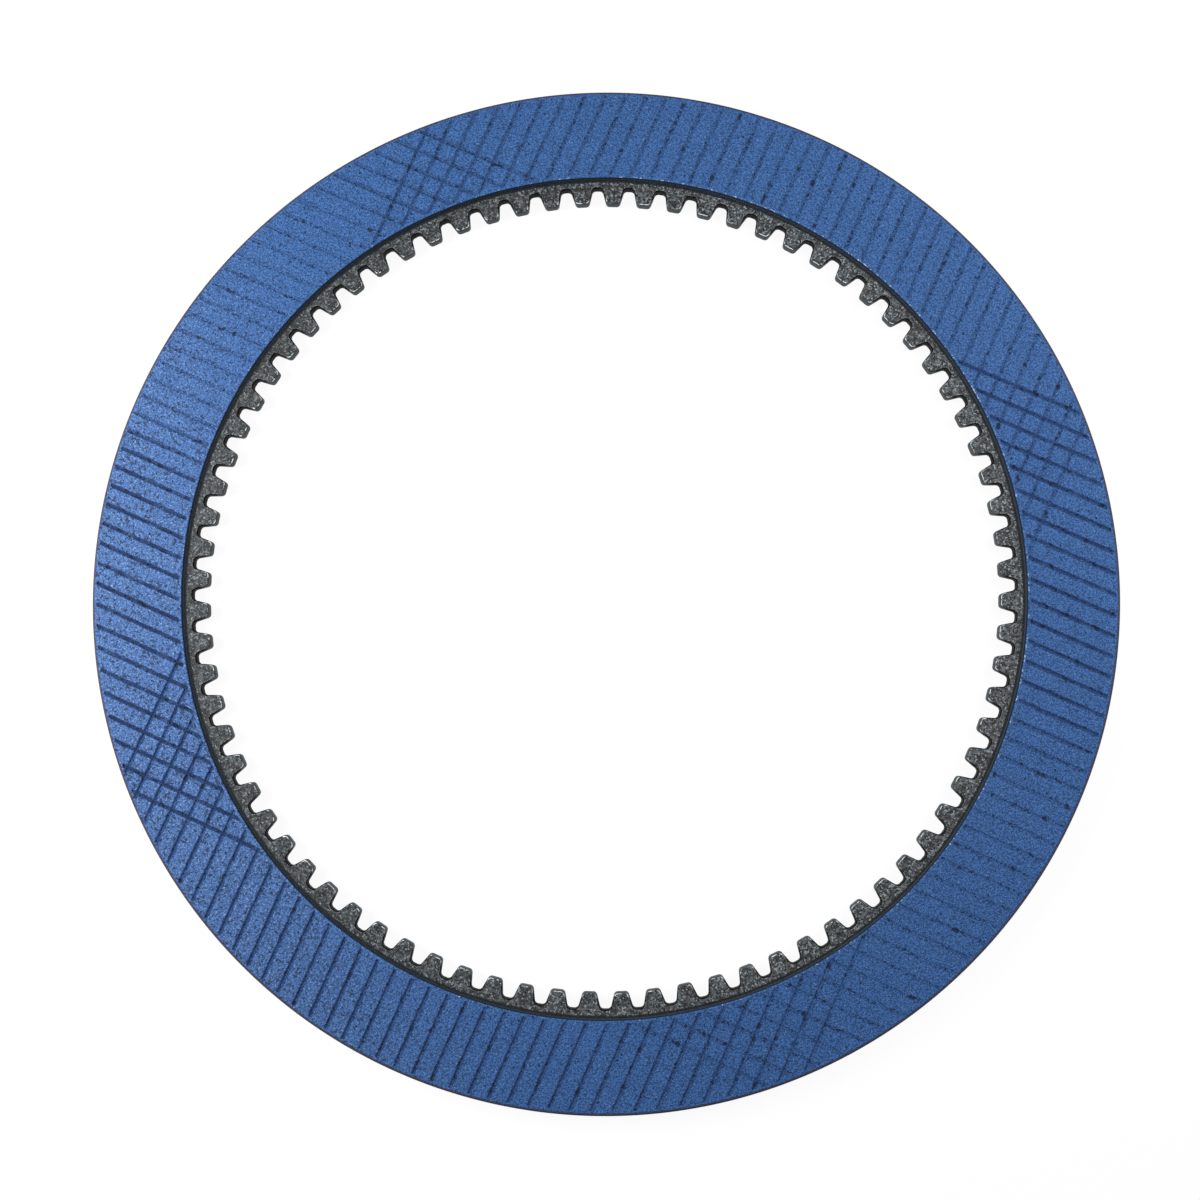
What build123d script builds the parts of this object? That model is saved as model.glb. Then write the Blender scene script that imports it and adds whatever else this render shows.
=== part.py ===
from build123d import *
import math
import os

# A wet clutch friction disc: a steel core plate with internal spline teeth, and a grooved friction
# facing bonded to each of its two faces. Millimetres and degrees.
# The origin is the centre of the disc, halfway through its thickness. +Z points out of the front face.
# The grooves run along X and Y, and one spline tooth is centred on +X.

# Internal spline of the core plate. The rest of the disc is built outwards from its pitch circle.
pitch_diameter = 240.0
tooth_count = 80
flank_angle = 16.0

# Tooth sizes as ratios to the module, which is the pitch diameter divided by the tooth count
addendum_ratio = 0.8
dedendum_ratio = 0.8
tooth_width_ratio = 1.77
corner_radius_ratio = 0.4

# Straight lines that make up a rounded corner. They are few, because every tooth has four corners.
tip_corner_line_count = 2
root_corner_line_count = 1

# Ring of the core plate
core_thickness = 3.5
bare_rim_width = 2.4
facing_edge_margin = 0.4

# Friction facings. Both rim walls lean in from the foot on the steel to the open face.
facing_width = 27.3
facing_thickness = 1.25
inner_wall_lean = 0.7
outer_wall_lean = 0.5

# Grooves, pressed into the facings in two gangs that cross at right angles
groove_pitch = 5.7
groove_width = 1.1
groove_depth = 0.45
groove_to_outer_rim = 0.7
groove_to_inner_rim = 0.7
gang_offset_x = 2.15
gang_offset_y = -2.85
gang_meeting_angle = 45.0

# How far a groove's cutting form stands above the face that it cuts
cutter_headroom = 0.2

# Values that follow from the sizes above
spline_module = pitch_diameter / tooth_count
pitch_radius = pitch_diameter / 2
tip_radius = pitch_radius - addendum_ratio * spline_module
root_radius = pitch_radius + dedendum_ratio * spline_module
tooth_width_at_pitch = tooth_width_ratio * spline_module
corner_radius = corner_radius_ratio * spline_module
facing_inner_radius = root_radius + bare_rim_width
facing_outer_radius = facing_inner_radius + facing_width
core_outer_radius = facing_outer_radius + facing_edge_margin
open_face_inner_radius = facing_inner_radius + inner_wall_lean
open_face_outer_radius = facing_outer_radius - outer_wall_lean
gang_reach = facing_outer_radius * math.cos(math.radians(gang_meeting_angle))


def half_tooth(distance):
    """Half the width of a tooth at a distance from the disc's axis. The flanks are straight."""
    slope = math.tan(math.radians(flank_angle))
    return tooth_width_at_pitch / 2 + (distance - pitch_radius) * slope


def corner_arc(x, y, start_angle, end_angle, line_count):
    """Points on the arc of a rounded corner about (x, y)."""
    points = []
    for step in range(line_count + 1):
        angle = math.radians(start_angle + (end_angle - start_angle) * step / line_count)
        points.append((x + corner_radius * math.cos(angle), y + corner_radius * math.sin(angle)))
    return points


def tooth_outline():
    """One tooth centred on +X, from the root on one side over the tip to the root on the other."""
    slant = math.cos(math.radians(flank_angle))
    tip_x = tip_radius + corner_radius
    tip_y = half_tooth(tip_x) - corner_radius / slant
    root_x = root_radius - corner_radius
    root_y = half_tooth(root_x) + corner_radius / slant
    tip_corner = corner_arc(tip_x, tip_y, 180, 90 + flank_angle, tip_corner_line_count)
    root_corner = corner_arc(root_x, root_y, flank_angle - 90, 0, root_corner_line_count)
    upper_half = tip_corner + root_corner
    lower_half = [(x, -y) for x, y in reversed(upper_half)]
    return lower_half + upper_half


def spline_hole():
    """The hole of the core plate: the tooth outline repeated round the axis, joined by straight roots."""
    points = []
    for number in range(tooth_count):
        turn = 360 * number / tooth_count
        points += [Vector(x, y).rotate(Axis.Z, turn) for x, y in tooth_outline()]
    return Polygon(*points, align=None)


def core_plate():
    """Flat steel ring with its spline teeth, one stamping, centred on the origin."""
    blank = Circle(core_outer_radius) - spline_hole()
    return extrude(blank, core_thickness / 2, both=True)


def groove_form(length):
    """Cutting form of one groove: a vee from the origin along +Y, its point groove_depth below Z = 0."""
    half_width = groove_width / 2 * (groove_depth + cutter_headroom) / groove_depth
    section = Polygon(
        (0, -groove_depth),
        (half_width, cutter_headroom),
        (-half_width, cutter_headroom),
        align=None,
    )
    return extrude(Plane.XZ * section, -length)


def groove_centres(gang_offset):
    """Distances from the axis to the grooves of one gang, a middle one and as many on each side of it."""
    grooves_each_side = math.floor(gang_reach / groove_pitch + 0.5)
    numbers = range(-grooves_each_side, grooves_each_side + 1)
    return [gang_offset + number * groove_pitch for number in numbers]


def groove_end(rim_radius, centre):
    """Height at which the line of a groove meets a circle, or 0 for a groove that passes outside it."""
    return math.sqrt(max(rim_radius**2 - centre**2, 0))


def groove_gang(gang_offset):
    """One gang of grooves along Y. Each groove crosses the ring twice and stops short of both rims."""
    gang = []
    for centre in groove_centres(gang_offset):
        start = groove_end(open_face_inner_radius + groove_to_inner_rim, centre)
        end = groove_end(open_face_outer_radius - groove_to_outer_rim, centre)
        groove = Pos(centre, start, 0) * groove_form(end - start)
        gang += [groove, mirror(groove, about=Plane.XZ)]
    return gang


def plain_ring():
    """A facing before its grooves: the section between its four rim circles, turned about Z."""
    section = Polygon(
        (facing_inner_radius, 0),
        (facing_outer_radius, 0),
        (open_face_outer_radius, facing_thickness),
        (open_face_inner_radius, facing_thickness),
        align=None,
    )
    return revolve(Plane.XZ * section, Axis.Z)


def front_facing():
    """Friction ring on the core plate's front face, with both gangs of grooves in its open face."""
    open_face = Pos(0, 0, facing_thickness)
    gang_along_y = [open_face * groove for groove in groove_gang(gang_offset_x)]
    gang_along_x = [open_face * Rot(0, 0, 90) * groove for groove in groove_gang(gang_offset_y)]
    grooved_ring = plain_ring() - (gang_along_y + gang_along_x)
    return Pos(0, 0, core_thickness / 2) * grooved_ring


os.makedirs("parts", exist_ok=True)
front = front_facing()
export_step(core_plate(), "parts/core_plate.step")
export_step(front, "parts/front_facing.step")
# The back facing is the front one turned over about X.
export_step(Rot(180, 0, 0) * front, "parts/back_facing.step")
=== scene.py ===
import math

import bmesh
import bpy
from mathutils import Matrix, Vector, noise


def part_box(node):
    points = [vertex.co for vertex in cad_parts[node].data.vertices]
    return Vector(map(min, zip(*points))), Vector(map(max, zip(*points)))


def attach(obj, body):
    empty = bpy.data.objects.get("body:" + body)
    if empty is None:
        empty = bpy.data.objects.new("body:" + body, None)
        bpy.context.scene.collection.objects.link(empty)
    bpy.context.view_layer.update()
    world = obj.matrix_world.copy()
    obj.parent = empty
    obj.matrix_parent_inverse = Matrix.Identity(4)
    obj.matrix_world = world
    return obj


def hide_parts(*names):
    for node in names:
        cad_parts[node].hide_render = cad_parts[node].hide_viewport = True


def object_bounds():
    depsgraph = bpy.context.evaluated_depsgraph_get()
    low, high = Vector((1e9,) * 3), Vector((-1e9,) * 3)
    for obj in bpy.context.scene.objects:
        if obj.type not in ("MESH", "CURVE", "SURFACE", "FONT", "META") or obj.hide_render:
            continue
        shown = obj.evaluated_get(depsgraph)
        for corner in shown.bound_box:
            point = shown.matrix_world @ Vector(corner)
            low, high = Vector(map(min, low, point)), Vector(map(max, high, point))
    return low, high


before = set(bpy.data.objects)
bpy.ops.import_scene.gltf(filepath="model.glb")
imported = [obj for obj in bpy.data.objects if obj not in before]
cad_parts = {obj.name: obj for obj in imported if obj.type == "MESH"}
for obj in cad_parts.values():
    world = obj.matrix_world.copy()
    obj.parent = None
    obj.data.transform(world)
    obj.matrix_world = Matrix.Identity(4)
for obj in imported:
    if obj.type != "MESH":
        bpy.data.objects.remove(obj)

bl_info = {
    "name": "Clutch Disc Looks",
    "version": (1, 0, 0),
    "blender": (4, 5, 0),
    "location": "3D View > Sidebar > Clutch Disc",
    "description": "Builds the looks of a splined clutch friction disc round its packed CAD solids",
    "category": "Object",
}

# The whole CAD model's box, kept from before any piece is added.
CAD_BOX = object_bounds()

MM = 0.001
BODY = "root"

# Heights and radii of the solids, in metres.
CORE_HALF_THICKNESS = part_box("core_plate")[1].z
FACING_FOOT_Z, FACING_FACE_Z = (corner.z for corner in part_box("front_facing"))
CORE_OUTER_RADIUS = 152.5 * MM
FACING_INNER_RADIUS = 124.8 * MM
FACING_OUTER_RADIUS = 152.1 * MM
OPEN_FACE_INNER_RADIUS = 125.5 * MM
OPEN_FACE_OUTER_RADIUS = 151.6 * MM

# Spline teeth, as in the solids: straight flanks between rounded tips and rounded roots.
TOOTH_COUNT = 80
TOOTH_STEP = 2 * math.pi / TOOTH_COUNT
PITCH_RADIUS = 120 * MM
TIP_RADIUS = 117.6 * MM
ROOT_RADIUS = 122.4 * MM
TOOTH_WIDTH = 5.31 * MM
CORNER_RADIUS = 1.2 * MM
FLANK_ANGLE = math.radians(16)

# Grooves, as in the solids: two gangs of parallel vees that cross at right angles. The first gang
# runs along Y and is spaced out along X. The second runs along X and is spaced out along Y.
GROOVE_PITCH = 5.7 * MM
GROOVE_HALF_WIDTH = 0.55 * MM
GROOVE_DEPTH = 0.45 * MM
GROOVES_EACH_SIDE = 19
GROOVE_TO_RIM = 0.7 * MM
GROOVE_START_RADIUS = OPEN_FACE_INNER_RADIUS + GROOVE_TO_RIM
GROOVE_END_RADIUS = OPEN_FACE_OUTER_RADIUS - GROOVE_TO_RIM
GANG_OFFSETS = (2.15 * MM, -2.85 * MM)

# How firmly the gangs were pressed in, which varies round the ring. The first gang is faintest where
# x and y are both positive. The second gang is faint where x and y have opposite signs, but for one
# stretch, where x is negative and y positive, in which the gangs cross more plainly.
RING_RADIUS = 138 * MM
FIRST_GANG_FAINTEST = 0.6
FIRST_GANG_RANGE = (-0.8, 1.2)
SECOND_GANG_FAINTEST = 0.42
SECOND_GANG_RANGE = (-0.05, 0.2)
CROSSING_RANGE = (72 * MM, 80 * MM)
CROSSING_FIRMNESS = 0.5

# How finely the new meshes are cut up.
CORNER_STEPS = 6
SECTOR_RIM_STEPS = 6
TOOTH_EDGE_SEGMENTS = 4
RIM_EDGE_SEGMENTS = 2
FACING_STEPS = 360
CORE_MERGE_DISTANCE = 0.001 * MM
FACING_MERGE_DISTANCE = 0.0005 * MM

# How far the forms that cut the grooves stand above the face, and how much of its stray sideways a torn
# edge also strays up and down.
CUTTER_HEADROOM = 0.3 * MM
UPWARD_STRAY = 0.4

# Flat faces of the core plate face up or down at least this squarely. Facings are shaded smooth in a
# strip of this width along their rims.
FLAT_ENOUGH = 0.999
SMOOTH_STRIP = 0.2 * MM

# Sizes of the steel's patterns, as drawn. Phosphate crystals are some hundredths of a millimetre across,
# which is too fine to show, so they are drawn as coarse as they need to show.
CRYSTAL_SIZE = 0.52 * MM
PALE_CRYSTAL_SIZE = 0.60 * MM
WEAR_SIZE = 1.1 * MM
BLOTCH_SIZE = 1.5 * MM

# Sizes of the facing's patterns, as drawn. Its fibres are thinner than a hair, which is too fine to
# show, so their grain is drawn as coarse as it needs to show.
FIBRE_SIZE = 0.44 * MM
FLECK_SIZE = 0.66 * MM
EDGE_GLINT_SIZE = 0.7 * MM
SPECK_SIZE = 0.95 * MM
CRUMB_SIZE = 2.3 * MM
PORE_SPACING = 3.4 * MM
TUFT_SIZE = 3.5 * MM
PATCH_SIZE = 4 * MM
CLOUD_SIZE = 9 * MM

# Stage. Places are metres on the disc's own axes, and the picture's right lies 24.2 degrees off +X
# towards +Y.
LEFT_SOFTBOX = {"place": (-0.3042, -0.1038, 0.22), "size": 0.20, "power": 1.43}
RIGHT_SOFTBOX = {"place": (0.2162, 0.2507, 0.24), "size": 0.30, "power": 0.90}
CAMERA_PLACE = (0.02961, -0.03388, 0.45780)
CAMERA_TURNS = (5, 1.7, 24.2)
LENS = 46.318
SENSOR_WIDTH = 36
FLOOR_REACH = 3.0
FLOOR_CELLS = 8
FLOOR_GAP = 0.05 * MM
FLOOR_GLOW = 0.93
WORLD_LIGHT = 0.2
WORLD_SEEN = 1.0

# Settings of the nodes that the materials use most.
PLUS = {"operation": "ADD"}
MINUS = {"operation": "SUBTRACT"}
TIMES = {"operation": "MULTIPLY"}
LARGER = {"operation": "MAXIMUM"}
SIZE_ONLY = {"operation": "ABSOLUTE"}
SMOOTH = {"interpolation_type": "SMOOTHSTEP"}
COLOURS = {"data_type": "RGBA"}


def linear(hex_colour):
    """An sRGB hex colour as the linear colour that the shaders take, opaque."""
    channels = [int(hex_colour[i:i + 2], 16) / 255 for i in (1, 3, 5)]
    return (*(c / 12.92 if c <= 0.04045 else ((c + 0.055) / 1.055) ** 2.4 for c in channels), 1.0)


WHITE = linear("#ffffff")


class ClutchSizes(bpy.types.PropertyGroup):
    """Sizes of the fine detail that the looks add to the solids."""

    tooth_edge_rounding: bpy.props.FloatProperty(
        name="Tooth edge rounding",
        description="Radius that the stamping die left along the tooth edges",
        default=0.42 * MM,
        unit="LENGTH",
    )
    rim_edge_rounding: bpy.props.FloatProperty(
        name="Rim edge rounding",
        description="How far the rounding of the core plate's outer edges and the open faces' edges reaches",
        default=0.14 * MM,
        unit="LENGTH",
    )
    groove_wander: bpy.props.FloatProperty(
        name="Groove wander",
        description="How far the torn edges of a groove stray from straight",
        default=0.16 * MM,
        unit="LENGTH",
    )
    groove_step: bpy.props.FloatProperty(
        name="Groove step",
        description="Length of one straight bit of a groove's torn edge",
        default=0.8 * MM,
        unit="LENGTH",
    )
    groove_seed: bpy.props.IntProperty(
        name="Groove seed",
        description="Number that picks the pattern of the torn edges. At 0 the clock would pick it",
        default=7,
        min=1,
    )
    groove_fullness: bpy.props.FloatProperty(
        name="Groove fullness",
        description="Share of its depth that a firmly pressed groove keeps after the fibre springs back",
        default=0.65,
        subtype="FACTOR",
    )
    groove_shallowing: bpy.props.FloatProperty(
        name="Groove shallowing",
        description="Share of its depth that a groove lacks where it was hardly pressed in at all",
        default=0.9,
        subtype="FACTOR",
    )


class ClutchColours(bpy.types.PropertyGroup):
    """Main colours of the disc."""

    facing: bpy.props.FloatVectorProperty(
        name="Facing",
        description="Blue of the friction facing",
        default=linear("#38639f"),
        size=4,
        subtype="COLOR",
    )
    # Partly painted shade of the grooves' hollows.
    groove: bpy.props.FloatVectorProperty(
        name="Groove",
        description="Dark blue in the bottom of the grooves",
        default=linear("#2a4b7e"),
        size=4,
        subtype="COLOR",
    )
    steel: bpy.props.FloatVectorProperty(
        name="Steel",
        description="Dark grey of the phosphated core plate",
        default=linear("#51565a"),
        size=4,
        subtype="COLOR",
    )


# Shader helpers


def add(tree, kind, inputs=(), **settings):
    """Adds a node with its settings, and fills its inputs by name, or in order among those that it shows.

    An input takes a value, another node's output, or another node, which stands for its first output.
    """
    made = tree.nodes.new("ShaderNode" + kind)
    for name, setting in settings.items():
        setattr(made, name, setting)
    if isinstance(inputs, dict):
        pairs = [(made.inputs[name], value) for name, value in inputs.items()]
    else:
        pairs = zip([socket for socket in made.inputs if socket.enabled], inputs)
    for socket, value in pairs:
        if isinstance(value, bpy.types.Node):
            value = next(output for output in value.outputs if output.enabled)
        if isinstance(value, bpy.types.NodeSocket):
            tree.links.new(value, socket)
        else:
            socket.default_value = value
    return made


def scaled(tree, value, growth, start):
    """A number that is start where value is 0, and grows by growth to where value is 1."""
    grown = add(tree, "Math", (value, growth), **TIMES)
    return add(tree, "Math", (grown, start), **PLUS)


def weighted(tree, first, second, first_share, second_share):
    """Two numbers, each times its share, added up."""
    first = add(tree, "Math", (first, first_share), **TIMES)
    second = add(tree, "Math", (second, second_share), **TIMES)
    return add(tree, "Math", (first, second), **PLUS)


def within(tree, value, rise, fall):
    """1 where value lies between two ranges: it goes up smoothly over the one and down over the other."""
    risen = add(tree, "MapRange", (value, *rise), **SMOOTH)
    fallen = add(tree, "MapRange", (value, *fall), **SMOOTH)
    return add(tree, "Math", (risen, fallen), **TIMES)


def stray(tree, pattern, reach):
    """How far a ragged edge strays to either side, by a pattern that averages a half."""
    off_middle = add(tree, "Math", (pattern, 0.5), **MINUS)
    return add(tree, "Math", (off_middle, reach), **TIMES)


def overlay(tree, colour, where, strength, tint):
    """Lays a tint over a colour where a pattern is 1, as strongly as strength says."""
    amount = add(tree, "Math", (where, strength), **TIMES)
    return add(tree, "Mix", (amount, colour, tint), **COLOURS)


def shade(colour, factor, lift=0.0):
    """A lighter or darker shade of a colour."""
    return (*(min(c * factor + lift, 1) for c in colour[:3]), 1)


def new_material(name):
    """An empty node material and its tree."""
    material = bpy.data.materials.new(name)
    material.use_nodes = True
    material.node_tree.nodes.clear()
    return material, material.node_tree


def place_on_disc(tree):
    """The point on the object, its three coordinates and its distance from the disc's axis."""
    place = add(tree, "TexCoord").outputs["Object"]
    x, y, z = add(tree, "SeparateXYZ", (place,)).outputs
    x_squared = add(tree, "Math", (x, x), **TIMES)
    y_squared = add(tree, "Math", (y, y), **TIMES)
    squared = add(tree, "Math", (x_squared, y_squared), **PLUS)
    return place, (x, y, z), add(tree, "Math", (squared,), operation="SQRT")


# Materials


def phosphated_steel(colours):
    """Stamped carbon steel with a phosphate coat."""
    # The coat grows as fine crystals, which give the eye a matt, mottled dark grey with pale and brown
    # specks. Stamping leaves burnished tooth edges, which also carry a painted highlight, and dark sheared
    # walls, painted near black in the roots as painted shade.
    material, tree = new_material("phosphated_stamped_steel")
    place, (x, y, z), radius = place_on_disc(tree)
    far_place = add(tree, "VectorMath", (place, (0.2, 0.6, 0.4)), **PLUS)
    normal = add(tree, "SeparateXYZ", (add(tree, "NewGeometry").outputs["Normal"],))
    upright = add(tree, "Math", (normal.outputs["Z"],), **SIZE_ONLY)

    # Crystals of the coat: blotches with dark pits, pale crystals and a few brown ones.
    fine = add(tree, "TexNoise", (place, 1 / CRYSTAL_SIZE, 1.0, 0.6))
    blotches = add(tree, "TexNoise", (place, 1 / BLOTCH_SIZE, 3.0, 0.7))
    crystals = add(tree, "TexNoise", (far_place, 1 / PALE_CRYSTAL_SIZE, 1.0, 0.6))
    mottle = add(tree, "MapRange", (blotches, 0.38, 0.62), **SMOOTH)
    colour = add(tree, "Mix", (mottle, shade(colours.steel, 0.30), shade(colours.steel, 1.6)), **COLOURS)
    for pattern, low, high, strength, tint in (
        (fine, 0.51, 0.40, 0.94, "#0a0b0c"),
        (crystals, 0.59, 0.66, 0.8, "#a4adb2"),
        (crystals, 0.38, 0.30, 0.5, "#5b4b37"),
    ):
        spots = add(tree, "MapRange", (pattern, low, high), **SMOOTH)
        colour = overlay(tree, colour, spots, strength, linear(tint))

    # Painted shade: darker towards the side that the left soft box lights most, which evens out the steel's
    # brightness there.
    sideways = add(tree, "Math", (x, add(tree, "Math", (y, 0.3), **TIMES)), **PLUS)
    painted_shade_side = add(tree, "MapRange", (sideways, 50 * MM, -120 * MM), **SMOOTH)
    colour = overlay(tree, colour, painted_shade_side, 0.4, linear("#17191a"))

    # Bright line where the rounded tooth edges begin, partly burnish and partly painted highlight, patchy,
    # and fainter in the roots.
    edge = within(tree, upright, (0.999, 0.985), (0.80, 0.92))
    wear = add(tree, "TexNoise", (place, 1 / WEAR_SIZE, 1.0))
    patchy = add(tree, "MapRange", (wear, 0.44, 0.60), **SMOOTH)
    in_root = add(tree, "MapRange", (radius, TIP_RADIUS + 0.7 * MM, TIP_RADIUS + 2.2 * MM), **SMOOTH)
    kept = add(tree, "Math", (1.0, add(tree, "Math", (in_root, 0.65), **TIMES)), **MINUS)
    burnish_and_highlight = add(tree, "Math", (edge, patchy), **TIMES)
    burnish_and_highlight = add(tree, "Math", (burnish_and_highlight, kept), **TIMES)
    colour = add(tree, "Mix", (burnish_and_highlight, colour, linear("#c9d0d2")), **COLOURS)

    # Sheared walls of the stamping: dark slate at the tips. In the roots they are painted almost black as
    # painted shade, and so is the rounded edge above them.
    wall_at_tip = add(tree, "MapRange", (upright, 0.86, 0.60), **SMOOTH)
    below_edge = add(tree, "MapRange", (upright, 0.995, 0.93), **SMOOTH)
    root_wall_and_shade = add(tree, "Math", (below_edge, in_root), **TIMES)
    wall = add(tree, "Math", (wall_at_tip, root_wall_and_shade), **LARGER)
    deep = add(tree, "MapRange", (z, -0.4 * MM, -1.5 * MM), **SMOOTH)
    shear_and_root_shade = add(tree, "Mix", (deep, linear("#353b3f"), linear("#15181a")), **COLOURS)
    shear_and_root_shade = add(tree, "Mix", (in_root, shear_and_root_shade, linear("#080706")), **COLOURS)
    colour = overlay(tree, colour, wall, 0.96, shear_and_root_shade)

    # Bonding resin that crept out from under the facings, with a painted shadow of the facings laid over it:
    # a black line with an uneven edge.
    ragged = stray(tree, add(tree, "TexNoise", (place, 1 / WEAR_SIZE)), 0.6 * MM)
    dark_band_edge = add(tree, "Math", (radius, ragged), **PLUS)
    dark_band_span = (FACING_INNER_RADIUS - 0.70 * MM, FACING_INNER_RADIUS - 0.60 * MM)
    resin_and_shadow = add(tree, "MapRange", (dark_band_edge, *dark_band_span), **SMOOTH)
    hidden = (CORE_OUTER_RADIUS - 2 * MM, CORE_OUTER_RADIUS - 3 * MM)
    inside = add(tree, "MapRange", (radius, *hidden), **SMOOTH)
    resin_and_shadow = add(tree, "Math", (resin_and_shadow, inside), **TIMES)
    colour = overlay(tree, colour, resin_and_shadow, 0.93, linear("#07080b"))

    # Brown oxide on the bare outer rim.
    rim = add(tree, "MapRange", (radius, FACING_OUTER_RADIUS - 0.3 * MM, FACING_OUTER_RADIUS), **SMOOTH)
    oxide = add(tree, "Mix", (fine, linear("#332a33"), linear("#5a4c56")), **COLOURS)
    colour = add(tree, "Mix", (rim, colour, oxide), **COLOURS)

    dulled = add(tree, "Math", (root_wall_and_shade, 0.22), **TIMES)
    height = add(tree, "Math", (fine, blotches), **PLUS)
    finish = {
        "Base Color": colour,
        "Metallic": scaled(tree, burnish_and_highlight, 0.7, 0.1),
        "Roughness": scaled(tree, fine, 0.3, 0.4),
        "Specular IOR Level": add(tree, "Math", (0.25, dulled), **MINUS),
        "Normal": add(tree, "Bump", {"Height": height, "Strength": 0.9, "Distance": 0.16 * MM}),
    }
    add(tree, "OutputMaterial", {"Surface": add(tree, "BsdfPrincipled", finish)})
    return material


def groove_distance(tree, across, gang_offset):
    """Distance to the nearest groove of one gang, from the coordinate measured across the gang."""
    shifted = add(tree, "Math", (across, gang_offset), **MINUS)
    steps = add(tree, "Math", (shifted, GROOVE_PITCH), operation="DIVIDE")
    steps = add(tree, "Math", (steps, 0.5), **PLUS)
    past_midway = add(tree, "Math", (steps,), operation="FRACT")
    distance = add(tree, "Math", (past_midway, 0.5), **MINUS)
    distance = add(tree, "Math", (distance,), **SIZE_ONLY)
    reach = (GROOVES_EACH_SIDE + 0.5) * GROOVE_PITCH
    off_centre = add(tree, "Math", (shifted,), **SIZE_ONLY)
    beyond = add(tree, "Math", (off_centre, reach), operation="GREATER_THAN")
    distance = add(tree, "Math", (distance, beyond), **PLUS)
    return add(tree, "Math", (distance, GROOVE_PITCH), **TIMES)


def gang_firmness(tree, x, y):
    """How firmly each gang was pressed in at a place, from its faintest up to 1, as in pressed_share."""
    towards_corner = add(tree, "Math", (x, y), **PLUS)
    towards_corner = add(tree, "Math", (towards_corner, -RING_RADIUS), operation="DIVIDE")
    first = add(tree, "MapRange", (towards_corner, *FIRST_GANG_RANGE), **SMOOTH)
    same_sign = add(tree, "Math", (x, y), **TIMES)
    same_sign = add(tree, "Math", (same_sign, RING_RADIUS ** 2), operation="DIVIDE")
    second = add(tree, "MapRange", (same_sign, *SECOND_GANG_RANGE), **SMOOTH)
    crossing = add(tree, "Math", (add(tree, "Math", (x, -1.0), **TIMES), y), operation="MINIMUM")
    crossing = add(tree, "MapRange", (crossing, *CROSSING_RANGE), **SMOOTH)
    crossing = add(tree, "Math", (crossing, CROSSING_FIRMNESS), **TIMES)
    second = add(tree, "Math", (second, crossing), **LARGER)
    first = scaled(tree, first, 1 - FIRST_GANG_FAINTEST, FIRST_GANG_FAINTEST)
    second = scaled(tree, second, 1 - SECOND_GANG_FAINTEST, SECOND_GANG_FAINTEST)
    return first, second


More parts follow.
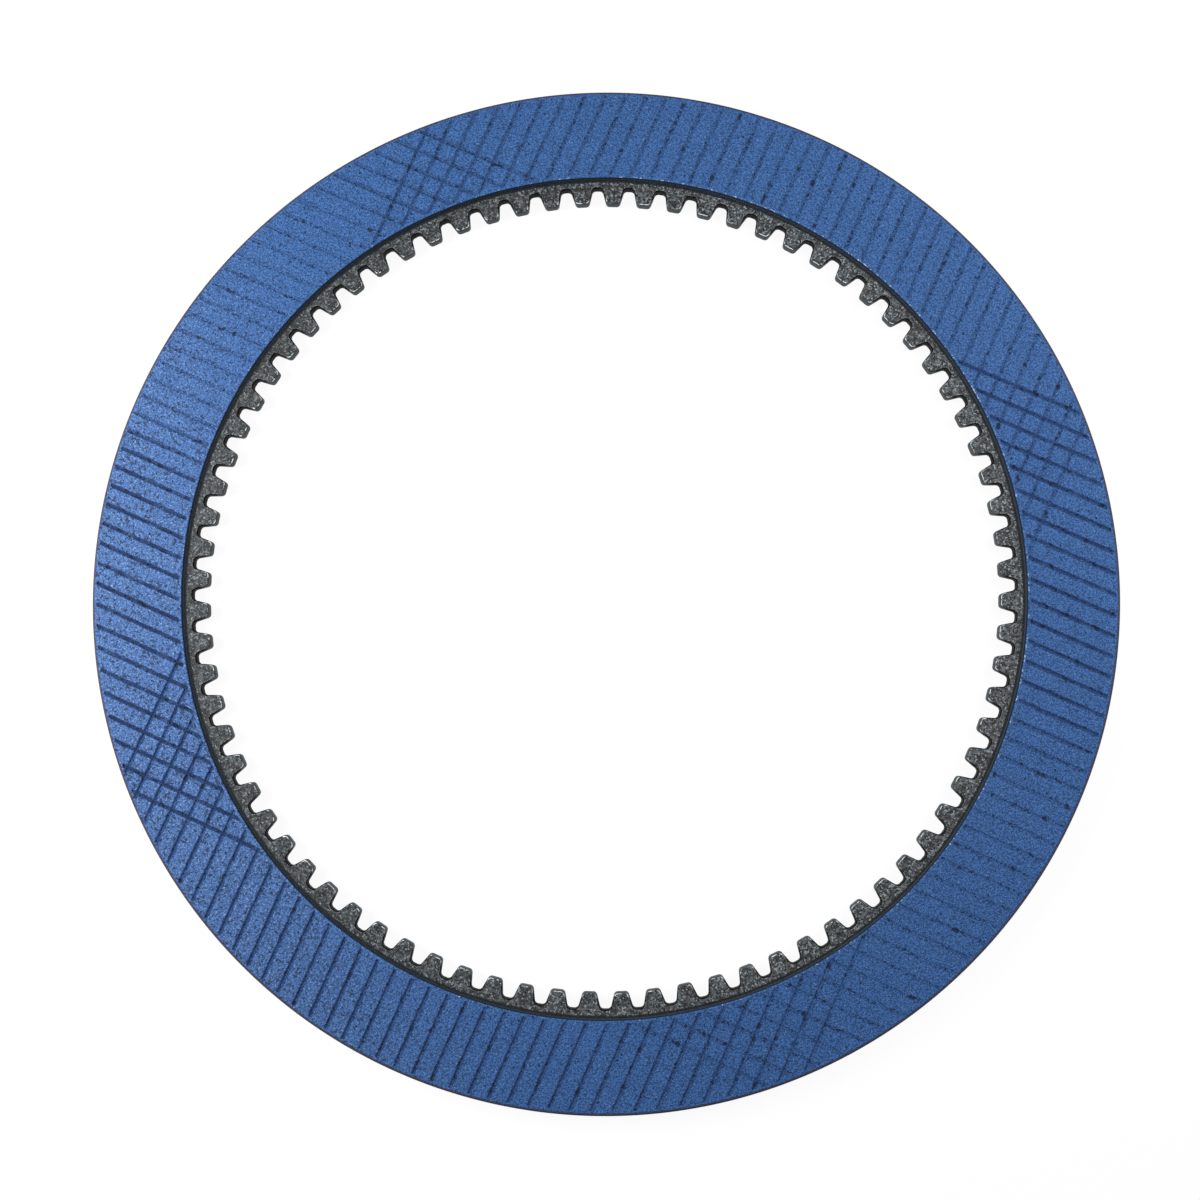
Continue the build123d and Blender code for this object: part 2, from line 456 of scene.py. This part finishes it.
def bonded_fibre(colours):
    """Friction paper: fibre pressed into a sheet and bonded with phenolic resin."""
    # Pressing and curing give the eye a matt, grainy blue with light and dark flecks of fibre, slate-blue
    # grooves with torn edges, and dark rims where the sheet was cut. Painted sheen, glints and shade are
    # added on the side that the left soft box lights most, with painted shade in the grooves and painted
    # glints along the inner rim.
    material, tree = new_material("resin_bonded_fibre")
    place, (x, y, _), radius = place_on_disc(tree)
    far_place = add(tree, "VectorMath", (place, (0.5, 0.3, 0.1)), **PLUS)

    # Grain of the pressed fibre: flecks lighter and darker than the blue round them. Towards the side that
    # the left soft box lights most, the light flecks are painted brighter as glints, the dark flecks stronger
    # as painted shade, and a faint white veil is laid on as painted sheen.
    fine = add(tree, "TexNoise", (place, 1 / FIBRE_SIZE, 1.0, 0.6))
    flecks = add(tree, "TexNoise", (far_place, 1 / FLECK_SIZE, 1.0, 0.6))
    specks = add(tree, "TexNoise", (far_place, 1 / SPECK_SIZE, 3.0, 0.75))
    clouds = add(tree, "TexNoise", (place, 1 / CLOUD_SIZE, 3.0))
    towards_side = weighted(tree, x, y, 0.775, 0.632)
    lit_side = add(tree, "MapRange", (towards_side, -50 * MM, -135 * MM), **SMOOTH)
    tone = scaled(tree, add(tree, "MapRange", (fine, 0.38, 0.62), **SMOOTH), 0.64, 0.18)
    blue = colours.facing
    colour = add(tree, "Mix", (tone, shade(blue, 0.32), shade(blue, 1.62, 0.012)), **COLOURS)
    more = add(tree, "Math", (lit_side, 0.035), **TIMES)
    pale_flecks_and_glints = add(tree, "Math", (flecks, more), **PLUS)
    pale_flecks_and_glints = add(tree, "MapRange", (pale_flecks_and_glints, 0.62, 0.71), **SMOOTH)
    colour = overlay(tree, colour, pale_flecks_and_glints, scaled(tree, lit_side, 0.25, 0.35), linear("#8fb0e0"))
    dark_flecks_and_shade = add(tree, "Math", (specks, more), **MINUS)
    dark_flecks_and_shade = add(tree, "MapRange", (dark_flecks_and_shade, 0.395, 0.36), **SMOOTH)
    dark_flecks_and_shade = add(tree, "Math", (dark_flecks_and_shade, scaled(tree, lit_side, 0.4, 0.5)), **TIMES)
    colour = add(tree, "Mix", (dark_flecks_and_shade, colour, linear("#101a30")), **COLOURS)
    cloudy = add(tree, "MapRange", (clouds, 0.35, 0.65), **SMOOTH)
    colour = overlay(tree, colour, cloudy, 0.10, linear("#2f5086"))
    # Painted sheen: a faint white veil on the side that the left soft box lights most.
    colour = overlay(tree, colour, lit_side, 0.018, WHITE)

    # Slate-blue grooves with ragged edges, their dark blue partly the pressed fibre's own and partly painted
    # shade of the hollow, paler where they were pressed in less firmly, with black crumbs torn out along
    # them. The second gang is painted darker still, as painted shade, on the side that the left soft box
    # lights most.
    start_margin = (GROOVE_START_RADIUS - 0.3 * MM, GROOVE_START_RADIUS + 0.3 * MM)
    end_margin = (GROOVE_END_RADIUS + 0.3 * MM, GROOVE_END_RADIUS - 0.3 * MM)
    between_ends = within(tree, radius, start_margin, end_margin)
    torn = stray(tree, specks, 1.6 * MM)
    patches = add(tree, "TexNoise", (place, 1 / PATCH_SIZE, 3.0, 0.6))
    patchy = scaled(tree, add(tree, "MapRange", (patches, 0.30, 0.55), **SMOOTH), 0.45, 0.55)
    small_crumbs = add(tree, "TexNoise", (far_place, 1 / SPECK_SIZE, 2.0, 0.7))
    small_crumbs = add(tree, "MapRange", (small_crumbs, 0.59, 0.65), **SMOOTH)
    large_crumbs = add(tree, "TexNoise", (far_place, 1 / CRUMB_SIZE, 1.0))
    large_crumbs = add(tree, "MapRange", (large_crumbs, 0.66, 0.69), **SMOOTH)
    torn_out = add(tree, "Math", (small_crumbs, large_crumbs), **LARGER)
    slate_grain = add(tree, "MapRange", (fine, 0.35, 0.62), **SMOOTH)
    slate = add(tree, "Mix", (slate_grain, shade(colours.groove, 0.6), colours.groove), **COLOURS)
    shaded_slate = overlay(tree, slate, lit_side, 0.7, linear("#22345a"))
    crumbs = 0.0
    for across, offset, firm, bottom in zip((x, y), GANG_OFFSETS, gang_firmness(tree, x, y), (slate, shaded_slate)):
        distance = groove_distance(tree, across, offset)
        band = add(tree, "Math", (distance, torn), **PLUS)
        band = add(tree, "MapRange", (band, 0.70 * MM, 0.61 * MM), **SMOOTH)
        band = add(tree, "Math", (band, add(tree, "Math", (between_ends, patchy), **TIMES)), **TIMES)
        strength = add(tree, "Math", (firm, 1.5), operation="POWER")
        colour = overlay(tree, colour, band, strength, bottom)
        beside = add(tree, "MapRange", (distance, 0.80 * MM, 0.45 * MM), **SMOOTH)
        beside = add(tree, "Math", (beside, between_ends), **TIMES)
        crumbs = add(tree, "Math", (crumbs, add(tree, "Math", (torn_out, beside), **TIMES)), **LARGER)
    colour = overlay(tree, colour, crumbs, 0.85, linear("#0f182a"))

    # Scattered pores in the open face.
    pores = add(tree, "TexVoronoi", (place, 1 / PORE_SPACING))
    pore = add(tree, "MapRange", (pores.outputs["Distance"], 0.12, 0.06), **SMOOTH)
    draw = add(tree, "SeparateColor", (pores.outputs["Color"],))
    keep = add(tree, "Math", (draw, 0.6), operation="GREATER_THAN")
    pore = add(tree, "Math", (pore, keep), **TIMES)
    colour = overlay(tree, colour, pore, 0.85, linear("#111c34"))

    # Painted highlight: bright glints along the open edge of the inner rim, most of them where the edge faces
    # the light.
    edge_start = (OPEN_FACE_INNER_RADIUS - 0.12 * MM, OPEN_FACE_INNER_RADIUS - 0.02 * MM)
    edge_end = (OPEN_FACE_INNER_RADIUS + 0.34 * MM, OPEN_FACE_INNER_RADIUS + 0.16 * MM)
    edge = within(tree, radius, edge_start, edge_end)
    away_from_light = weighted(tree, x, y, 0.72, 0.69)
    chance = add(tree, "MapRange", (away_from_light, -30 * MM, 100 * MM), **SMOOTH)
    chance = add(tree, "Math", (chance, 0.12), **TIMES)
    edge_glints = add(tree, "Math", (add(tree, "TexNoise", (place, 1 / EDGE_GLINT_SIZE, 1.0)), chance), **PLUS)
    edge_glints = add(tree, "MapRange", (edge_glints, 0.64, 0.76), **SMOOTH)
    tufts = add(tree, "TexNoise", (place, 1 / TUFT_SIZE, 1.0))
    tufts = add(tree, "MapRange", (tufts, 0.36, 0.56), **SMOOTH)
    edge_glints = add(tree, "Math", (add(tree, "Math", (edge_glints, tufts), **TIMES), 0.85), **TIMES)
    colour = overlay(tree, colour, edge, edge_glints, linear("#c9d8ee"))

    # Rim walls. The inner one is navy above and bare slate-grey fibre near its foot; the outer one is dark.
    foot = (FACING_INNER_RADIUS + 0.36 * MM, FACING_INNER_RADIUS + 0.26 * MM)
    near_foot = add(tree, "MapRange", (radius, *foot), **SMOOTH)
    wall = add(tree, "Mix", (near_foot, linear("#16202c"), linear("#46545f")), **COLOURS)
    inner_edge = (OPEN_FACE_INNER_RADIUS - 0.02 * MM, OPEN_FACE_INNER_RADIUS - 0.14 * MM)
    inner_wall = add(tree, "MapRange", (radius, *inner_edge), **SMOOTH)
    colour = overlay(tree, colour, inner_wall, 0.96, wall)
    outer_edge = (OPEN_FACE_OUTER_RADIUS - 0.35 * MM, OPEN_FACE_OUTER_RADIUS - 0.1 * MM)
    outer_wall = add(tree, "MapRange", (radius, *outer_edge), **SMOOTH)
    colour = overlay(tree, colour, outer_wall, 0.6, linear("#2b2f4c"))

    holes = add(tree, "Math", (pore, crumbs), **LARGER)
    holes = add(tree, "Math", (holes, add(tree, "Math", (dark_flecks_and_shade, 0.7), **TIMES)), **LARGER)
    height = add(tree, "Math", (weighted(tree, fine, flecks, 0.6, 0.8), holes), **MINUS)
    finish = {
        "Base Color": colour,
        "Roughness": scaled(tree, fine, 0.25, 0.5),
        "Specular IOR Level": 0.2,
        "Normal": add(tree, "Bump", {"Height": height, "Strength": 1.0, "Distance": 0.32 * MM}),
    }
    add(tree, "OutputMaterial", {"Surface": add(tree, "BsdfPrincipled", finish)})
    return material


# Pieces


def finish_mesh(bm, name, material, node):
    """Turns a bmesh into a piece that rides on the disc and stands for a CAD node."""
    mesh = bpy.data.meshes.new(name)
    bm.to_mesh(mesh)
    bm.free()
    piece = bpy.data.objects.new(name, mesh)
    bpy.context.scene.collection.objects.link(piece)
    mesh.materials.append(material)
    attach(piece, BODY)
    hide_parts(node)


def half_tooth(distance):
    """Half the width of a tooth at a distance from the axis."""
    return TOOTH_WIDTH / 2 + (distance - PITCH_RADIUS) * math.tan(FLANK_ANGLE)


def rounded(x, y, start, end):
    """Points on a tooth's rounded corner about (x, y), from one angle to another in degrees."""
    turns = [math.radians(start + (end - start) * step / CORNER_STEPS) for step in range(CORNER_STEPS + 1)]
    return [(x + CORNER_RADIUS * math.cos(t), y + CORNER_RADIUS * math.sin(t)) for t in turns]


def sector_outline():
    """One tooth with its share of the ring, centred on +X, as points in order round its edge."""
    slant = math.cos(FLANK_ANGLE)
    flank = math.degrees(FLANK_ANGLE)
    tip_x = TIP_RADIUS + CORNER_RADIUS
    tip_y = half_tooth(tip_x) - CORNER_RADIUS / slant
    root_x = ROOT_RADIUS - CORNER_RADIUS
    root_y = half_tooth(root_x) + CORNER_RADIUS / slant
    half = rounded(tip_x, tip_y, 180, 90 + flank) + rounded(root_x, root_y, flank - 90, 0)
    turn = TOOTH_STEP / 2
    gap_middle = ROOT_RADIUS * math.cos(turn) + root_y * math.sin(turn)
    half.append((gap_middle * math.cos(turn), gap_middle * math.sin(turn)))
    rim = [turn - TOOTH_STEP * step / SECTOR_RIM_STEPS for step in range(SECTOR_RIM_STEPS + 1)]
    outer = [(CORE_OUTER_RADIUS * math.cos(t), CORE_OUTER_RADIUS * math.sin(t)) for t in rim]
    mirrored = [(x, -y) for x, y in half]
    return half + outer + mirrored[::-1]


def rounded_edges(bm, edges, radius, segments):
    """Rounds edges of a bmesh."""
    bmesh.ops.bevel(
        bm,
        geom=edges,
        offset=radius,
        offset_type="OFFSET",
        segments=segments,
        profile=0.5,
        affect="EDGES",
        clamp_overlap=False,
        material=-1,
    )


def is_rim(edge):
    """Whether an edge lies between a flat face and a wall."""
    tilts = sorted(abs(face.normal.z) for face in edge.link_faces)
    return len(tilts) == 2 and tilts[0] < 0.1 and tilts[1] > 0.9


def core_plate(sizes, material):
    """The toothed steel ring, with finely rounded corners and the rounded edges of a stamping."""
    bm = bmesh.new()
    corners = [bm.verts.new((x, y, -CORE_HALF_THICKNESS)) for x, y in sector_outline()]
    bm.faces.new(corners)
    bmesh.ops.spin(
        bm,
        geom=bm.faces[:],
        cent=(0, 0, 0),
        axis=(0, 0, 1),
        angle=TOOTH_STEP * (TOOTH_COUNT - 1),
        steps=TOOTH_COUNT - 1,
        use_duplicate=True,
    )
    bmesh.ops.remove_doubles(bm, verts=bm.verts, dist=CORE_MERGE_DISTANCE)
    raised = bmesh.ops.extrude_face_region(bm, geom=bm.faces[:], use_keep_orig=True)
    lifted = [item for item in raised["geom"] if isinstance(item, bmesh.types.BMVert)]
    bmesh.ops.translate(bm, verts=lifted, vec=(0, 0, 2 * CORE_HALF_THICKNESS))
    bmesh.ops.recalc_face_normals(bm, faces=bm.faces)
    bm.normal_update()
    middle_radius = (ROOT_RADIUS + CORE_OUTER_RADIUS) / 2
    rims = [edge for edge in bm.edges if is_rim(edge)]
    tooth_edges = [edge for edge in rims if edge.verts[0].co.xy.length < middle_radius]
    outer_edges = [edge for edge in rims if edge.verts[0].co.xy.length > middle_radius]
    rounded_edges(bm, tooth_edges, sizes.tooth_edge_rounding, TOOTH_EDGE_SEGMENTS)
    rounded_edges(bm, outer_edges, sizes.rim_edge_rounding, RIM_EDGE_SEGMENTS)
    bm.normal_update()
    for face in bm.faces:
        face.smooth = abs(face.normal.z) < FLAT_ENOUGH
    finish_mesh(bm, "core_plate_detail", material, "core_plate")


def softened_corner(before, corner, after, setback):
    """Three points that round the corner of a section between its two neighbours."""
    towards_before = (before - corner).normalized()
    towards_after = (after - corner).normalized()
    inwards = (towards_before + towards_after).normalized()
    half_angle = towards_before.angle(towards_after) / 2
    to_middle = setback / math.cos(half_angle) - setback * math.tan(half_angle)
    return [corner + towards_before * setback, corner + inwards * to_middle, corner + towards_after * setback]


def plain_ring(sizes):
    """A front facing before its grooves: its section turned about the axis, with softened open edges."""
    bm = bmesh.new()
    inner_foot = Vector((FACING_INNER_RADIUS, FACING_FOOT_Z))
    outer_foot = Vector((FACING_OUTER_RADIUS, FACING_FOOT_Z))
    outer_rim = Vector((OPEN_FACE_OUTER_RADIUS, FACING_FACE_Z))
    inner_rim = Vector((OPEN_FACE_INNER_RADIUS, FACING_FACE_Z))
    section = [inner_foot, outer_foot]
    section += softened_corner(outer_foot, outer_rim, inner_rim, sizes.rim_edge_rounding)
    section += softened_corner(outer_rim, inner_rim, inner_foot, sizes.rim_edge_rounding)
    corners = [bm.verts.new((radius, 0, z)) for radius, z in section]
    edges = [bm.edges.new((corners[i - 1], corners[i])) for i in range(len(corners))]
    bmesh.ops.spin(
        bm,
        geom=corners + edges,
        cent=(0, 0, 0),
        axis=(0, 0, 1),
        angle=2 * math.pi,
        steps=FACING_STEPS,
        use_merge=True,
    )
    bmesh.ops.recalc_face_normals(bm, faces=bm.faces)
    # Spin leaves edges and faces in an order that changes from run to run, so they are sorted by place.
    # No two of them are level in a direction as odd as this.
    slant = Vector((1, 0.618, 0.382))
    bm.edges.sort(key=lambda edge: (edge.verts[0].co + edge.verts[1].co).dot(slant))
    bm.faces.sort(key=lambda face: face.calc_center_median().dot(slant))
    return bm


def groove_cutter(bm, centre, side, sizes):
    """Adds the closed vee prism that cuts one groove, along +Y or -Y, with torn edges."""
    start = math.sqrt(GROOVE_START_RADIUS ** 2 - centre ** 2)
    end = math.sqrt(GROOVE_END_RADIUS ** 2 - centre ** 2)
    height = GROOVE_DEPTH + CUTTER_HEADROOM
    half_width = GROOVE_HALF_WIDTH * height / GROOVE_DEPTH
    # A cone with three sides and equal ends is a prism. It is laid down along Y, and then its first corner
    # points down into the facing.
    corner_height = height * 2 / 3
    corner_width = half_width / math.cos(math.radians(30))
    lift = FACING_FACE_Z - GROOVE_DEPTH + corner_height
    place = Matrix.Translation((centre, side * (start + end) / 2, lift))
    lay = Matrix(((1, 0, 0, 0), (0, 0, 1, 0), (0, -1, 0, 0), (0, 0, 0, 1)))
    stretch = Matrix.Diagonal((corner_width, corner_height, 1, 1))
    made = bmesh.ops.create_cone(
        bm,
        cap_ends=True,
        segments=3,
        radius1=1,
        radius2=1,
        depth=end - start,
        matrix=place @ lay @ stretch,
    )
    long_edges = []
    for vert in made["verts"]:
        for edge in vert.link_edges:
            is_long = abs(edge.verts[0].co.y - edge.verts[1].co.y) > (end - start) / 2
            if is_long and edge not in long_edges:
                long_edges.append(edge)
    cuts = max(int((end - start) / sizes.groove_step), 2)
    bmesh.ops.subdivide_edges(bm, edges=long_edges, cuts=cuts)


def eased(value, low, high):
    """0 below low and 1 above high, with a smooth change between."""
    share = min(max((value - low) / (high - low), 0), 1)
    return share * share * (3 - 2 * share)


def pressed_share(gang, place):
    """How much of its full depth a gang of grooves has at a place, as in gang_firmness."""
    if gang == 0:
        firm = eased(-(place.x + place.y) / RING_RADIUS, *FIRST_GANG_RANGE)
        return FIRST_GANG_FAINTEST + (1 - FIRST_GANG_FAINTEST) * firm
    firm = eased(place.x * place.y / RING_RADIUS ** 2, *SECOND_GANG_RANGE)
    firm = max(firm, CROSSING_FIRMNESS * eased(min(-place.x, place.y), *CROSSING_RANGE))
    return SECOND_GANG_FAINTEST + (1 - SECOND_GANG_FAINTEST) * firm


def gang_cutter(gang, sizes):
    """All the grooves of one gang, as closed prisms whose points stray a little from straight."""
    bm = bmesh.new()
    for number in range(-GROOVES_EACH_SIDE, GROOVES_EACH_SIDE + 1):
        centre = GANG_OFFSETS[gang] + number * GROOVE_PITCH
        for side in (1, -1):
            groove_cutter(bm, centre, side, sizes)
    turn = Matrix.Rotation(gang * math.pi / 2, 3, "Z")
    bmesh.ops.rotate(bm, verts=bm.verts, cent=(0, 0, 0), matrix=turn)
    for vert in bm.verts:
        below_face = FACING_FACE_Z - vert.co.z
        lacking = (1 - pressed_share(gang, vert.co)) * sizes.groove_shallowing
        lift = max(below_face, 0) * (1 - sizes.groove_fullness * (1 - lacking))
        wander = noise.noise_vector(vert.co / sizes.groove_step) * sizes.groove_wander
        vert.co += Vector((wander.x, wander.y, UPWARD_STRAY * wander.z + lift))
    bmesh.ops.recalc_face_normals(bm, faces=bm.faces)
    return bm


def scratch_object(bm, name):
    """A throwaway object of a bmesh."""
    mesh = bpy.data.meshes.new(name)
    bm.to_mesh(mesh)
    bm.free()
    made = bpy.data.objects.new(name, mesh)
    bpy.context.scene.collection.objects.link(made)
    return made


def cut_away(target, cutter):
    """Cuts one throwaway object with another, which is then removed."""
    modifier = target.modifiers.new("cut", "BOOLEAN")
    modifier.operation = "DIFFERENCE"
    modifier.solver = "EXACT"
    modifier.object = cutter
    graph = bpy.context.evaluated_depsgraph_get()
    mesh = bpy.data.meshes.new_from_object(target.evaluated_get(graph))
    target.modifiers.clear()
    target.data = mesh
    bpy.data.objects.remove(cutter)


def grooved_ring(sizes):
    """The front facing with both gangs of torn grooves, as a bmesh."""
    noise.seed_set(sizes.groove_seed)
    ring = scratch_object(plain_ring(sizes), "ring")
    for gang in range(len(GANG_OFFSETS)):
        cut_away(ring, scratch_object(gang_cutter(gang, sizes), "gang"))
    bm = bmesh.new()
    bm.from_mesh(ring.data)
    bpy.data.objects.remove(ring)
    bmesh.ops.remove_doubles(bm, verts=bm.verts, dist=FACING_MERGE_DISTANCE)
    bmesh.ops.recalc_face_normals(bm, faces=bm.faces)
    bm.normal_update()
    for face in bm.faces:
        reach = face.calc_center_median().xy.length
        is_open = OPEN_FACE_INNER_RADIUS + SMOOTH_STRIP < reach < OPEN_FACE_OUTER_RADIUS - SMOOTH_STRIP
        face.smooth = not is_open
    return bm


# Stage


def seen_directly(tree):
    """1 for rays that show a surface itself: straight from the camera, or by reflection or refraction."""
    path = add(tree, "LightPath")
    glossy = add(tree, "Math", (path.outputs["Is Camera Ray"], path.outputs["Is Glossy Ray"]), **LARGER)
    return add(tree, "Math", (glossy, path.outputs["Is Transmission Ray"]), **LARGER)


def build_floor(scene):
    """A plain floor of matt white paper under the disc."""
    bm = bmesh.new()
    bmesh.ops.create_grid(bm, x_segments=FLOOR_CELLS, y_segments=FLOOR_CELLS, size=FLOOR_REACH)
    bmesh.ops.translate(bm, verts=bm.verts, vec=(0, 0, CAD_BOX[0][2] - FLOOR_GAP))
    mesh = bpy.data.meshes.new("floor")
    bm.to_mesh(mesh)
    bm.free()
    floor = bpy.data.objects.new("floor", mesh)
    scene.collection.objects.link(floor)
    # The paper gives the eye an even white with soft shadows. It adds its own white only where it is
    # looked at, and lights the disc like mid-grey, so that the tooth walls stay dark.
    material, tree = new_material("matt_white_paper")
    paper = add(tree, "BsdfDiffuse", {"Color": linear("#5a5a5a")})
    strength = add(tree, "Math", (seen_directly(tree), FLOOR_GLOW), **TIMES)
    glow = add(tree, "Emission", {"Color": WHITE, "Strength": strength})
    add(tree, "OutputMaterial", {"Surface": add(tree, "AddShader", (paper, glow))})
    mesh.materials.append(material)


def build_world(scene):
    """Even white light from all round, seen as plain white."""
    world = bpy.data.worlds.new("studio")
    scene.world = world
    world.use_nodes = True
    tree = world.node_tree
    tree.nodes.clear()
    strength = scaled(tree, seen_directly(tree), WORLD_SEEN - WORLD_LIGHT, WORLD_LIGHT)
    background = add(tree, "Background", {"Color": WHITE, "Strength": strength})
    add(tree, "OutputWorld", {"Surface": background})


def build_softbox(scene, name, place, size, power):
    """A square soft box aimed at the disc."""
    data = bpy.data.lights.new(name, "AREA")
    data.shape = "SQUARE"
    data.size = size
    data.energy = power
    light = bpy.data.objects.new(name, data)
    scene.collection.objects.link(light)
    light.location = place
    light.rotation_euler = (-Vector(place)).to_track_quat("-Z", "Y").to_euler()


def build_camera(scene):
    """Looks down on the disc from a little below and to the right of the picture's middle."""
    data = bpy.data.cameras.new("camera")
    data.sensor_width = SENSOR_WIDTH
    data.lens = LENS
    camera = bpy.data.objects.new("camera", data)
    scene.collection.objects.link(camera)
    camera.location = CAMERA_PLACE
    camera.rotation_euler = [math.radians(angle) for angle in CAMERA_TURNS]
    scene.camera = camera


# Operators


class CLUTCH_OT_core_plate(bpy.types.Operator):
    """Builds the toothed steel core plate"""

    bl_idname = "clutch.core_plate"
    bl_label = "Core plate"

    def execute(self, context):
        scene = context.scene
        core_plate(scene.clutch_sizes, phosphated_steel(scene.clutch_colours))
        return {"FINISHED"}


class CLUTCH_OT_facings(bpy.types.Operator):
    """Builds the two grooved friction facings"""

    bl_idname = "clutch.facings"
    bl_label = "Friction facings"

    def execute(self, context):
        scene = context.scene
        material = bonded_fibre(scene.clutch_colours)
        front = grooved_ring(scene.clutch_sizes)
        back = front.copy()
        turn_over = Matrix.Rotation(math.pi, 3, "X")
        bmesh.ops.rotate(back, verts=back.verts, cent=(0, 0, 0), matrix=turn_over)
        finish_mesh(front, "front_facing_detail", material, "front_facing")
        finish_mesh(back, "back_facing_detail", material, "back_facing")
        return {"FINISHED"}


class CLUTCH_OT_stage(bpy.types.Operator):
    """Builds the floor, the lights and the camera"""

    bl_idname = "clutch.stage"
    bl_label = "Stage"

    def execute(self, context):
        scene = context.scene
        scene.view_settings.view_transform = "Standard"
        build_floor(scene)
        build_world(scene)
        # Both soft boxes stand so near that each lights its own side of the disc most. The left one is
        # the stronger.
        build_softbox(scene, "left_softbox", **LEFT_SOFTBOX)
        build_softbox(scene, "right_softbox", **RIGHT_SOFTBOX)
        build_camera(scene)
        return {"FINISHED"}


class CLUTCH_PT_panel(bpy.types.Panel):
    """Lists the disc's sizes, colours and pieces"""

    bl_idname = "CLUTCH_PT_panel"
    bl_label = "Clutch Disc"
    bl_space_type = "VIEW_3D"
    bl_region_type = "UI"
    bl_category = "Clutch Disc"

    def draw(self, context):
        scene = context.scene
        for group in (scene.clutch_sizes, scene.clutch_colours):
            for name in group.__annotations__:
                self.layout.prop(group, name)
        for operator in OPERATORS:
            self.layout.operator(operator.bl_idname)


OPERATORS = (CLUTCH_OT_core_plate, CLUTCH_OT_facings, CLUTCH_OT_stage)
CLASSES = (ClutchSizes, ClutchColours, *OPERATORS, CLUTCH_PT_panel)


def register():
    """Registers the classes and the scene's settings."""
    for cls in CLASSES:
        bpy.utils.register_class(cls)
    bpy.types.Scene.clutch_sizes = bpy.props.PointerProperty(type=ClutchSizes)
    bpy.types.Scene.clutch_colours = bpy.props.PointerProperty(type=ClutchColours)


def unregister():
    """Removes the settings and the classes again."""
    del bpy.types.Scene.clutch_colours
    del bpy.types.Scene.clutch_sizes
    for cls in reversed(CLASSES):
        bpy.utils.unregister_class(cls)


def main():
    """Builds the whole scene."""
    register()
    bpy.ops.clutch.core_plate()
    bpy.ops.clutch.facings()
    bpy.ops.clutch.stage()


if __name__ == "__main__":
    main()
